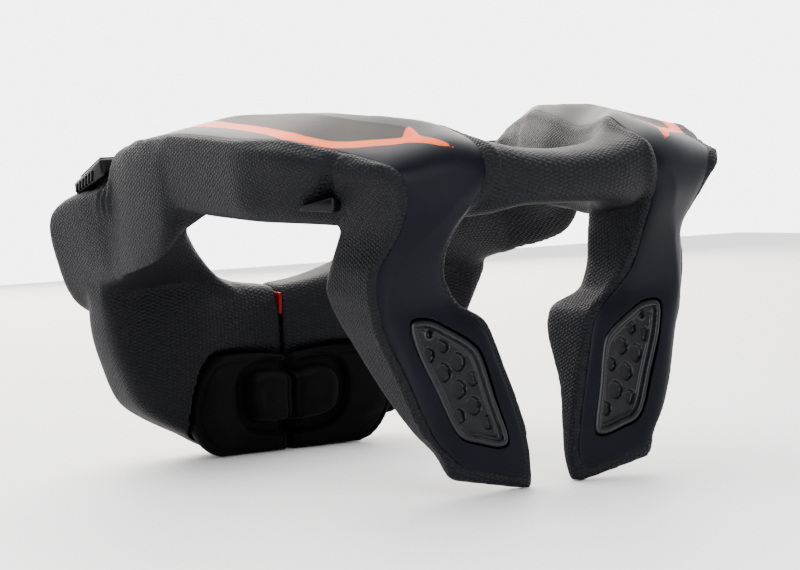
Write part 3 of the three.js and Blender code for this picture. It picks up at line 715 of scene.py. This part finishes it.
class PieceSettings(bpy.types.PropertyGroup):
    """Sizes and colours that a user may change."""

    texture_pitch: FloatProperty(name="Scale pitch", description="Spacing of the embossed scales on the foam",
                                 default=0.0016, min=0.001, max=0.01, subtype="DISTANCE", unit="LENGTH")
    voxel: FloatProperty(name="Foam fineness", description="Edge length of the foam body's mesh",
                         default=0.0018, min=0.001, max=0.006, subtype="DISTANCE", unit="LENGTH")
    shell_wall: FloatProperty(name="Shell wall", description="Thickness of the hard shell",
                              default=0.0022, min=0.001, max=0.005, subtype="DISTANCE", unit="LENGTH")
    cloth_frames: IntProperty(name="Cushion frames", description="Steps of the cushions' inflation",
                              default=20, min=1, max=60)
    foam_colour: FloatVectorProperty(name="Foam colour", description="Colour of the moulded foam",
                                     subtype="COLOR", default=(0.0050, 0.0053, 0.0092), min=0, max=1)
    shell_colour: FloatVectorProperty(name="Shell colour", description="Colour of the hard shell",
                                      subtype="COLOR", default=(0.0045, 0.0052, 0.0098), min=0, max=1)
    panel_colour: FloatVectorProperty(name="Panel colour", description="Colour of the panel by the stripe",
                                      subtype="COLOR", default=(0.010, 0.0075, 0.006), min=0, max=1)
    stripe_colour: FloatVectorProperty(name="Stripe colour", description="Colour of the printed stripe",
                                       subtype="COLOR", default=(0.92, 0.115, 0.004), min=0, max=1)
    rubber_colour: FloatVectorProperty(name="Rubber colour", description="Colour of the leg inserts",
                                       subtype="COLOR", default=(0.009, 0.009, 0.0122), min=0, max=1)
    pad_colour: FloatVectorProperty(name="Pad colour", description="Colour of the chest cushions",
                                    subtype="COLOR", default=(0.0007, 0.0007, 0.0011), min=0, max=1)
    latch_colour: FloatVectorProperty(name="Latch colour", description="Colour of the closure latch",
                                      subtype="COLOR", default=(0.22, 0.004, 0.004), min=0, max=1)


class NECKBRACE_OT_foam_and_shells(bpy.types.Operator):
    """Models the foam body and the two shells that lie in it"""

    bl_idname = "neckbrace.foam_and_shells"
    bl_label = "Foam Body and Shells"

    def execute(self, context):
        settings = context.scene.neck_brace
        tubes = body_tubes()
        skin = BVHTree.FromBMesh(tubes)
        points, marks = shell_grid(skin)
        plastic = shell_finish(settings)
        shells = {}
        for name, side in SIDES.items():
            shells[name] = self.shell(name, side, points, marks, settings.shell_wall, plastic)
        body = new_object("foam_body", tubes, foam_finish(settings))
        modify(body, "REMESH", mode="VOXEL", voxel_size=settings.voxel * 1000)
        modify(body, "SMOOTH", factor=0.5, iterations=6)
        baked(body)
        self.mirror(body, self.bed(body, points))
        shade_smooth(body)
        dress(body, "foam_frame")
        for name, thing in shells.items():
            dress(thing, f"shell_{name}")
        return {"FINISHED"}

    def shell(self, name, side, points, marks, wall_thickness, finish):
        mesh = bmesh.new()
        layer = mesh.loops.layers.uv.new("artwork")

        def spot(column, row):
            x, y, z = points[row, column]
            return placed((side * x, y, z))

        made = grid_points(mesh, points.shape[1] - 1, points.shape[0] - 1, spot)
        for face in mesh.faces:
            for loop in face.loops:
                column, row = made[loop.vert]
                loop[layer].uv = marks[row, column]
        mesh.normal_update()
        if sum(face.normal.z for face in mesh.faces) < 0:
            bmesh.ops.reverse_faces(mesh, faces=mesh.faces)
        thing = new_object(f"shoulder_shell_{name}", mesh, finish)
        modify(thing, "SOLIDIFY", thickness=wall_thickness, offset=-1.0)
        cutter = self.window(side)
        modify(thing, "BOOLEAN", operation="DIFFERENCE", object=cutter, solver="EXACT")
        modify(thing, "BEVEL", width=0.0006, segments=2, limit_method="ANGLE", angle_limit=math.radians(55))
        baked(thing)
        bpy.data.objects.remove(cutter)
        shade_smooth(thing, 40)
        return thing

    @staticmethod
    def window(side):
        """A prism through the shell that the insert shows in."""
        outline = curve_points(in_millimetres(INSERT), 72)
        centre = outline.mean(axis=0)
        shift = insert_place(side, 0, 0, 12.0) - insert_place(side, 0, 0, -12.0)
        mesh = prism(outline + (outline - centre) / 40, lambda x, z: insert_place(side, x, z, -12.0), shift)
        bmesh.ops.recalc_face_normals(mesh, faces=mesh.faces)
        return new_object("window", mesh)

    @staticmethod
    def sheet_and_border(points):
        """Search trees of the shell's face and of its edge, and the sign that turns the face outward."""
        rows, columns = points.shape[0], points.shape[1]
        flat = [Vector(point) for point in points.reshape(-1, 3)]
        faces = [(r * columns + c, (r + 1) * columns + c, (r + 1) * columns + c + 1, r * columns + c + 1)
                 for r in range(rows - 1) for c in range(columns - 1)]
        sheet = BVHTree.FromPolygons(flat, faces)
        sign = 1 if sheet.find_nearest(Vector((95, 0, 90)))[1].z > 0 else -1
        edge = np.concatenate([points[:, 0], points[-1], points[::-1, -1], points[0, ::-1]])
        loop = [Vector(point) for point in edge]
        count = len(loop)
        border = BVHTree.FromPolygons(loop + [point + Vector((0, 0.01, 0.01)) for point in loop],
                                      [(i, i + 1, i + 1 + count, i + count) for i in range(count - 1)])
        return sheet, border, sign

    def bed(self, body, points):
        """Sinks the foam under the other pieces and raises it round the shell. Tells what it moved."""
        search, beside, flush = 16.0, 0.25, 0.45
        sheet, border, sign = self.sheet_and_border(points)
        count = len(body.data.vertices)
        spots, normals = np.zeros(count * 3), np.zeros(count * 3)
        body.data.vertices.foreach_get("co", spots)
        body.data.vertices.foreach_get("normal", normals)
        spots, normals = spots.reshape(-1, 3), normals.reshape(-1, 3)
        well = soft_step(-2.0, 0.5, inside_depth(spots[:, [0, 2]], curve_points(in_millimetres(INSERT), 72)))
        well = well * (spots[:, 2] < 12) * (spots[:, 1] < -80)
        settled = np.zeros(count, bool)
        near_shell = (spots[:, 0] > 8) & ((spots[:, 2] > 60) | (spots[:, 1] < -75))
        for index in np.nonzero(near_shell)[0]:
            spot, own = Vector(spots[index]), Vector(normals[index])
            near, normal, _, _ = sheet.find_nearest(spot, search)
            if near is None:
                continue
            normal = normal * sign
            offset = spot - near
            level = offset.dot(normal)
            lateral = (offset - normal * level).length
            facing = own.dot(normal)
            if border.find_nearest(near, beside)[0] is None:
                if level < -9 or (facing < 0.25 and level < -2.4):
                    continue
                reach = border.find_nearest(near, 20.0)[3] or 20.0
                depth = flush - 1.75 * float(soft_step(0.0, 1.7, reach))
                depth -= 3.4 * float(soft_step(1.7, 8.0, reach))
                spots[index] = near + normal * (depth - 3.6 * well[index])
                settled[index] = reach < 3
            elif facing > 0.2 and abs(level) < 4:
                lift = flush + 0.55 * float(soft_step(0.0, 1.6, lateral))
                spots[index] = spot + own * (lift * float(soft_step(7.0, 1.8, lateral)))
                settled[index] = lateral < 3
        self.crease(spots, normals)
        pad = inside_depth(spots[:, [0, 2]], curve_points(in_millimetres(PAD), 84))
        sunk = soft_step(-5.0, 0.6, pad) * (spots[:, 1] > 90) * soft_step(0.25, -0.25, normals[:, 1])
        spots[:, 1] += sunk * np.maximum(PAD_BACK - 1.0 - spots[:, 1], 0)
        body.data.vertices.foreach_set("co", spots.ravel())
        body.data.update()
        sole = (spots[:, 2] < -46) & (spots[:, 1] < 0)
        return settled | ((pad > -7) & (pad < 4) & (sunk > 0)) | sole

    @staticmethod
    def crease(spots, normals):
        """Steps the platform's wall in before the leg's front edge, and pleats the foam beside the lever."""
        path = np.array(LEG_EDGE)
        start, step = path[:-1], np.diff(path, axis=0)
        gap = np.full(len(spots), 1e9)
        ahead = np.zeros(len(spots))
        for a, along in zip(start, step):
            t = np.clip(((spots - a) @ along) / (along @ along), 0, 1)
            offset = spots - a - t[:, None] * along
            reach = np.linalg.norm(offset, axis=1)
            closer = reach < gap
            gap = np.where(closer, reach, gap)
            ahead = np.where(closer, offset[:, 1], ahead)
        outer = soft_step(0.1, 0.6, normals[:, 0])
        most_sink, most_swell = 1.9, 1.6
        sink = soft_step(-0.6, 1.2, ahead) * soft_step(10.0, 1.5, gap) * most_sink
        swell = soft_step(0.6, -0.8, ahead) * soft_step(9.0, 1.0, gap) * most_swell
        spots += normals * (outer * (swell - sink))[:, None]
        pleat_pitch, pleat_height, pleat_rise = 5.2, 0.85, 1.3
        offset = spots - PLEAT_CENTRE
        close = soft_step(19.0, 7.0, np.linalg.norm(offset * (0.8, 1.1, 0.9), axis=1))
        across = (offset[:, 0] * 0.35 + offset[:, 1]) * 2 * math.pi / pleat_pitch
        pleat = np.cos(across + np.sin(offset[:, 2] * 0.35))
        spots += normals * (close * (pleat * pleat_height + pleat_rise))[:, None]

    @staticmethod
    def mirror(body, settled):
        """Adds the left side: the bridge is joined on the middle plane, and the chest halves stay apart."""
        mesh = bmesh.new()
        mesh.from_mesh(body.data)
        mesh.verts.ensure_lookup_table()
        lip = [mesh.verts[index] for index in np.nonzero(settled)[0]]
        for _ in range(6):
            bmesh.ops.smooth_vert(mesh, verts=lip, factor=0.5,
                                  use_axis_x=True, use_axis_y=True, use_axis_z=True)
        bmesh.ops.bisect_plane(mesh, geom=mesh.verts[:] + mesh.edges[:] + mesh.faces[:], dist=1e-4,
                               plane_co=(0, 0, 0), plane_no=(-1, 0, 0), clear_outer=True)
        bmesh.ops.mirror(mesh, geom=mesh.verts[:] + mesh.edges[:] + mesh.faces[:], merge_dist=1e-3, axis="X")
        bmesh.ops.recalc_face_normals(mesh, faces=mesh.faces)
        bmesh.ops.transform(mesh, matrix=rest_matrix(), verts=mesh.verts)
        for vertex in mesh.verts:
            vertex.co.z = max(vertex.co.z, 0.0)
        mesh.to_mesh(body.data)
        mesh.free()


def insert_place(side, x, z, out):
    """A point of the insert's own plane: sideways, up the slope, and out of the face."""
    up = Vector((0, math.sin(INSERT_LEAN), math.cos(INSERT_LEAN)))
    face = Vector((0, -math.cos(INSERT_LEAN), math.sin(INSERT_LEAN)))
    return placed(Vector((side * x, INSERT_DEPTH * LENGTH, 0)) + up * z + face * out)


class NECKBRACE_OT_leg_inserts(bpy.types.Operator):
    """Models the rubber inserts with their rim and rounded six-sided cells"""

    bl_idname = "neckbrace.leg_inserts"
    bl_label = "Leg Inserts"

    def execute(self, context):
        material = rubber_finish(context.scene.neck_brace)
        outline = curve_points(in_millimetres(INSERT), 120)
        low, high = outline.min(axis=0), outline.max(axis=0)
        columns, rows = 110, 140
        xs, zs = np.meshgrid(np.linspace(low[0], high[0], columns + 1),
                             np.linspace(low[1], high[1], rows + 1))
        flat = np.stack([xs.ravel(), zs.ravel()], axis=1)
        depth = inside_depth(flat, outline)
        height = self.relief(flat, depth, outline)

        def spot(column, row):
            place = row * (columns + 1) + column
            return Vector((*flat[place], height[place]))

        for name, side in SIDES.items():
            mesh = bmesh.new()
            made = grid_points(mesh, columns, rows, spot)
            outside = [vertex for vertex, (column, row) in made.items()
                       if depth[row * (columns + 1) + column] < -0.35]
            bmesh.ops.delete(mesh, geom=outside, context="VERTS")
            for vertex in [vertex for vertex in mesh.verts if vertex.is_boundary]:
                offsets = outline - np.array(vertex.co.xy)
                vertex.co.xy = outline[np.argmin((offsets**2).sum(axis=1))]
                vertex.co.z = INSERT_FLOOR
            bmesh.ops.remove_doubles(mesh, verts=mesh.verts, dist=0.05)
            loose = [face for face in mesh.faces if face.calc_area() < 1e-4]
            bmesh.ops.delete(mesh, geom=loose, context="FACES_ONLY")
            edges = [edge for edge in mesh.edges if edge.is_boundary]
            grown = bmesh.ops.extrude_edge_only(mesh, edges=edges)["geom"]
            for corner in corners_of(grown):
                corner.co.z = INSERT_BACK
            open_edges = [edge for edge in mesh.edges if edge.is_boundary]
            bmesh.ops.holes_fill(mesh, edges=open_edges, sides=0)
            bmesh.ops.scale(mesh, vec=(side, 1, 1), verts=mesh.verts)
            bmesh.ops.recalc_face_normals(mesh, faces=mesh.faces)
            for vertex in mesh.verts:
                vertex.co = insert_place(1, vertex.co.x, vertex.co.y, vertex.co.z)
            thing = new_object(f"honeycomb_insert_{name}", mesh, material)
            shade_smooth(thing, 50)
            dress(thing, f"leg_insert_{name}")
        return {"FINISHED"}

    @staticmethod
    def relief(flat, depth, outline):
        """Height over the insert's plane: a rounded rim, a ledge, the floor and its cells."""
        half_rim = 1.9
        rim = np.sqrt(np.clip(1 - ((depth - half_rim) / half_rim) ** 2, 0, 1))
        height = np.where(depth < 2 * half_rim, INSERT_FLOOR - INSERT_FLOOR * rim, INSERT_FLOOR)
        height = np.where(depth > 3.2, np.minimum(height, INSERT_FLOOR), height)
        height = height - 0.9 * soft_step(4.6, 5.2, depth)
        cells = np.zeros(len(flat))
        for column in range(-2, 6):
            for row in range(-2, 5):
                centre = CELL_START + CELL_ACROSS * column + CELL_ALONG * row
                room = (float(inside_depth(centre[None], outline)[0]) - 4.4) / 4.0
                if room < 0.45:
                    continue
                offset = (flat - centre) / min(max(room, 0.78), 1.0)
                u, v = offset[:, 0] / CELL_HALF[0], offset[:, 1] / CELL_HALF[1]
                hexed = np.maximum(np.abs(u), np.abs(u) * 0.5 + np.abs(v) * 0.90)
                radius = 0.55 * np.hypot(u, v) + 0.45 * hexed
                cells = np.maximum(cells, soft_step(1.06, 0.9, radius))
        cells *= soft_step(5.4, 6.1, depth)
        pin = np.hypot(flat[:, 0] - PIN_PLACE[0], flat[:, 1] - PIN_PLACE[1])
        collar = soft_step(2.6, 2.0, pin) * soft_step(1.2, 1.8, pin)
        height = height - CELL_DEPTH * cells
        height = height - CELL_DEPTH * soft_step(1.7, 1.1, pin) + 0.3 * collar
        return height


class NECKBRACE_OT_chest_cushions(bpy.types.Operator):
    """Models the chest cushions: inflated covers with a sewn channel"""

    bl_idname = "neckbrace.chest_cushions"
    bl_label = "Chest Cushions"

    def execute(self, context):
        settings = context.scene.neck_brace
        material = cover_finish(settings)
        for name, side in SIDES.items():
            thing = self.cushion(name, side, settings)
            thing.data.materials.clear()
            thing.data.materials.append(material)
            dress(thing, f"chest_pad_{name}")
        return {"FINISHED"}

    def cushion(self, name, side, settings):
        outline = curve_points(in_millimetres(PAD), 84)
        centre = outline.mean(axis=0)
        blank = centre + (outline - centre) * PAD_BLANK_SCALE
        mesh = prism(blank, lambda x, z: Vector((x, PAD_BACK, z)), (0, -PAD_THICKNESS, 0))
        for vertex in mesh.verts:
            vertex.co = placed((side * vertex.co.x, vertex.co.y, vertex.co.z))
        bmesh.ops.recalc_face_normals(mesh, faces=mesh.faces)
        thing = new_object(f"chest_cushion_{name}", mesh)
        modify(thing, "REMESH", mode="VOXEL", voxel_size=0.003)
        baked(thing)
        start = [vertex.co.copy() for vertex in thing.data.vertices]
        self.inflate(thing, settings.cloth_frames)
        for vertex, first in zip(thing.data.vertices, start):
            moved = vertex.co - first
            if moved.length > PAD_MOST_MOVE:
                vertex.co = first + moved.normalized() * PAD_MOST_MOVE
        modify(thing, "SUBSURF", levels=2, render_levels=2)
        baked(thing)
        self.sew(thing, side, outline)
        shade_smooth(thing)
        return thing

    @staticmethod
    def inflate(thing, frames):
        cloth = modify(thing, "CLOTH")
        cloth.settings.use_pressure = True
        cloth.settings.uniform_pressure_force = 4.0
        cloth.settings.effector_weights.gravity = 0.0
        cloth.settings.quality = 5
        cloth.point_cache.frame_start, cloth.point_cache.frame_end = 1, frames
        for step in range(1, frames + 1):
            bpy.context.scene.frame_set(step)
        baked(thing)
        bpy.context.scene.frame_set(1)

    @staticmethod
    def sew(thing, side, outline):
        """Presses the channel in, raises the inner block and pulls in the stitch line beside the edge."""
        ahead = rest_matrix()
        back = ahead.inverted()
        spots = np.array([back @ vertex.co for vertex in thing.data.vertices])
        flat = np.stack([spots[:, 0] * side, spots[:, 2]], axis=1)
        inner = curve_points(PAD_BLOCK, 90)
        depth = inside_depth(flat, inner)
        edge = inside_depth(flat, outline)
        normals = np.array([back.to_3x3() @ vertex.normal for vertex in thing.data.vertices])
        normals /= np.linalg.norm(normals, axis=1)[:, None]
        front = soft_step(0.1, 0.7, -normals[:, 1])
        channel = soft_step(-8.2, -5.6, depth) * soft_step(0.6, -1.6, depth)
        block = soft_step(-0.6, 2.6, depth)
        crown = soft_step(0.0, 9.0, depth)
        dish = soft_step(5.0, 9.0, depth)
        stitches = soft_step(1.6, 2.4, edge) * soft_step(3.6, 2.8, edge)
        turned_out, top_out = soft_step(26.0, 56.0, flat[:, 0]), soft_step(-48.0, -38.0, flat[:, 1])
        spots[:, 1] += front * (channel * 4.5 - block * 4.0 - crown * 1.2)
        spots[:, 1] += front * dish
        spots[:, 1] += front * stitches
        spots[:, 1] -= 5.0 * turned_out + 1.6 * top_out
        spots[:, 0] = side * np.maximum(flat[:, 0], 0.5)
        for vertex, spot in zip(thing.data.vertices, spots):
            vertex.co = ahead @ Vector(spot)
            vertex.co.z = max(vertex.co.z, 0.0002)
        thing.data.update()


class NECKBRACE_OT_fasteners(bpy.types.Operator):
    """Models the ribbed levers, the wedge clips and the closure latch"""

    bl_idname = "neckbrace.fasteners"
    bl_label = "Levers, Clips and Latch"

    def execute(self, context):
        settings = context.scene.neck_brace
        black = plastic_finish("lever_plastic", (0.004, 0.004, 0.005), 0.36)
        grey = plastic_finish("clip_plastic", (0.006, 0.006, 0.008), 0.2)
        red = plastic_finish("latch_plastic", settings.latch_colour, 0.4)
        for name, side in SIDES.items():
            dress(self.lever(name, side, black), f"side_lever_{name}")
            dress(self.clip(name, side, grey), f"side_clip_{name}")
        dress(self.latch(red), "closure_latch")
        return {"FINISHED"}

    @staticmethod
    def block(size, place, turn=None, round_off=0.0, segments=2):
        mesh = bmesh.new()
        bmesh.ops.create_cube(mesh, size=1.0)
        bmesh.ops.scale(mesh, vec=size, verts=mesh.verts)
        if round_off:
            bmesh.ops.bevel(mesh, geom=mesh.edges[:], offset=round_off, segments=segments, profile=0.5,
                            affect="EDGES", material=-1)
        if turn:
            bmesh.ops.rotate(mesh, cent=(0, 0, 0), matrix=turn, verts=mesh.verts)
        bmesh.ops.translate(mesh, vec=place, verts=mesh.verts)
        return mesh

    @staticmethod
    def join(name, meshes, finish_point, material):
        whole = bmesh.new()
        for mesh in meshes:
            add_part(whole, mesh)
        for vertex in whole.verts:
            vertex.co = finish_point(vertex.co) * 1000
        whole.normal_update()
        bmesh.ops.recalc_face_normals(whole, faces=whole.faces)
        bmesh.ops.scale(whole, vec=(0.001, 0.001, 0.001), verts=whole.verts)
        thing = new_object(name, whole, material)
        shade_smooth(thing, 40)
        return thing

    def lever(self, name, side, material):
        """A wedge with a plain top plate and slanted ribs on its outer face."""
        parts = [self.block((13, 31, 9), (0, -0.5, 1.0), None, 1.9, 3),
                 self.block((11.2, 23, 1.6), (-0.3, -3.0, 5.7), None, 0.7, 2)]
        lean = Matrix.Rotation(math.radians(30), 3, "X")
        for rib in range(6):
            along = (rib - 2.5) * 3.3 + 3.0
            parts.append(self.block((1.6, 1.5, 5.4), (6.5, along, 0.2), lean, 0.4, 2))
        slope = Matrix.Rotation(math.radians(-24), 3, "X")
        seat = Vector((LEVER_SEAT.x * HALF_WIDTH, LEVER_SEAT.y * LENGTH, LEVER_SEAT.z * HEIGHT))

        def finish_point(co):
            taper = 1.0 - 0.3 * max(co.y / 15.0, 0.0)
            point = slope @ Vector((co.x, co.y, co.z * taper)) + seat
            return placed((side * point.x, point.y, point.z))

        return self.join(f"lever_{name}", parts, finish_point, material)

    def clip(self, name, side, material):
        parts = [self.block((17, 8, 7), (0, 0, 0), None, 1.4, 3)]
        turn = Matrix.Rotation(math.radians(60), 3, "Z")
        seat = Vector((CLIP_SEAT.x * HALF_WIDTH, CLIP_SEAT.y * LENGTH, CLIP_SEAT.z * HEIGHT))

        def finish_point(co):
            nose = float(soft_step(-2.0, 8.5, co.x))
            point = turn @ Vector((co.x, co.y, -3.5 + (co.z + 3.5) * (1 - 0.62 * nose))) + seat
            return placed((side * point.x, point.y, point.z))

        return self.join(f"clip_{name}", parts, finish_point, material)

    def latch(self, material):
        seat = Vector((0, LATCH_SEAT.y * LENGTH, LATCH_SEAT.z * HEIGHT))
        parts = [self.block((1.8, 14, 11), (0, 0, 0), None, 0.4, 2),
                 self.block((14, 10, 11), (0, 5.0, 0), None, 1.0, 2)]
        return self.join("latch_tab", parts, lambda co: placed(co + seat), material)


class NECKBRACE_OT_stage(bpy.types.Operator):
    """Sets the floor, the lights and the camera"""

    bl_idname = "neckbrace.stage"
    bl_label = "Stage"

    def execute(self, context):
        scene = context.scene
        mesh = bmesh.new()
        bmesh.ops.create_grid(mesh, x_segments=2, y_segments=2, size=1.9)
        bmesh.ops.translate(mesh, vec=(0, 0, -0.0004), verts=mesh.verts)
        finish = Finish("studio_floor")
        spot, _ = finish.place()
        cloud = finish.noise(spot, 0.002, 2.0)
        shade = finish.blend(cloud, (0.86, 0.86, 0.86), (0.88, 0.88, 0.88))
        floor = new_object("floor", mesh, finish.done(base_color=shade, roughness=0.6))
        scene.world = self.surroundings()
        scene.view_settings.look = "AgX - Medium High Contrast"
        self.light("key", (-0.35, 0.15, 1.5), 1.4, 16.0, (0, 0, 0.08))
        self.light("rear", (0.6, 1.5, 0.9), 1.6, 28.0, (0, 0, 0.1), (1.0, 0.9, 0.78))
        self.light("side", (-1.4, 0.3, 0.5), 0.9, 3.5, (0, 0, 0.08), (0.93, 0.96, 1.0))
        self.light("front", (-0.3, -1.6, 0.7), 1.2, 18.0, (0, 0, 0.08), (0.93, 0.96, 1.0))
        self.camera(scene)
        return {"FINISHED"}

    @staticmethod
    def surroundings():
        """White walls, brightest behind the brace as the photographed side sees it."""
        walls = Finish("studio", "worlds")
        aim = walls.node("ShaderNodeTexCoord", output="Generated")
        behind = (math.sin(PHOTO_TURN), math.cos(PHOTO_TURN), 0.0)
        ahead = walls.node("ShaderNodeVectorMath", {"operation": "DOT_PRODUCT"}, {0: aim, 1: behind},
                           output="Value")
        bright = 0.27 + ahead.ramp(-0.1, 0.8) * 2.8
        back = walls.node("ShaderNodeBackground", None, {"Color": (1, 1, 1, 1), "Strength": bright})
        end = walls.tree.nodes.new("ShaderNodeOutputWorld")
        walls.tree.links.new(back.socket, end.inputs["Surface"])
        return walls.material

    @staticmethod
    def light(name, place, size, power, aim, tint=(1.0, 1.0, 1.0)):
        data = bpy.data.lights.new(name, "AREA")
        data.color = tint
        data.shape, data.size, data.energy = "SQUARE", size, power
        lamp = bpy.data.objects.new(name, data)
        lamp.location = place
        lamp.rotation_euler = (Vector(aim) - Vector(place)).to_track_quat("-Z", "Y").to_euler()
        bpy.context.scene.collection.objects.link(lamp)

    @staticmethod
    def camera(scene):
        turn, drop = PHOTO_TURN, PHOTO_DROP
        ahead = Vector((math.sin(turn) * math.cos(drop), math.cos(turn) * math.cos(drop), -math.sin(drop)))
        right = Vector((math.cos(turn), -math.sin(turn), 0))
        above = right.cross(ahead)
        tilt = Matrix.Rotation(REST_TILT, 3, "X")
        axes = Matrix((tilt @ right, tilt @ above, tilt @ -ahead)).transposed()
        data = bpy.data.cameras.new("photo_view")
        data.sensor_fit, data.sensor_width = "HORIZONTAL", SENSOR_WIDTH
        data.lens = PHOTO_FOCAL / PHOTO_WIDTH * SENSOR_WIDTH
        data.shift_x, data.shift_y = (pixels / PHOTO_WIDTH for pixels in PHOTO_SHIFT)
        data.clip_start, data.clip_end = 0.05, 50
        camera = bpy.data.objects.new("photo_view", data)
        camera.matrix_world = Matrix.Translation(placed(-ahead * PHOTO_DISTANCE)) @ axes.to_4x4()
        scene.collection.objects.link(camera)
        scene.camera = camera


class NECKBRACE_PT_panel(bpy.types.Panel):
    """Lists the brace's pieces in the sidebar"""

    bl_idname = "NECKBRACE_PT_panel"
    bl_label = "Neck Brace"
    bl_space_type = "VIEW_3D"
    bl_region_type = "UI"
    bl_category = "Neck Brace"

    def draw(self, context):
        settings = context.scene.neck_brace
        for name in settings.bl_rna.properties.keys():
            if name not in {"rna_type", "name"}:
                self.layout.prop(settings, name)
        for operator in OPERATORS:
            self.layout.operator(operator.bl_idname)


OPERATORS = (
    NECKBRACE_OT_foam_and_shells,
    NECKBRACE_OT_leg_inserts,
    NECKBRACE_OT_chest_cushions,
    NECKBRACE_OT_fasteners,
    NECKBRACE_OT_stage,
)


def register():
    for item in (PieceSettings, *OPERATORS, NECKBRACE_PT_panel):
        bpy.utils.register_class(item)
    bpy.types.Scene.neck_brace = PointerProperty(type=PieceSettings)


def unregister():
    del bpy.types.Scene.neck_brace
    for item in (NECKBRACE_PT_panel, *reversed(OPERATORS), PieceSettings):
        bpy.utils.unregister_class(item)


def main():
    register()
    for operator in OPERATORS:
        group, call = operator.bl_idname.split(".")
        getattr(getattr(bpy.ops, group), call)()


if __name__ == "__main__":
    main()
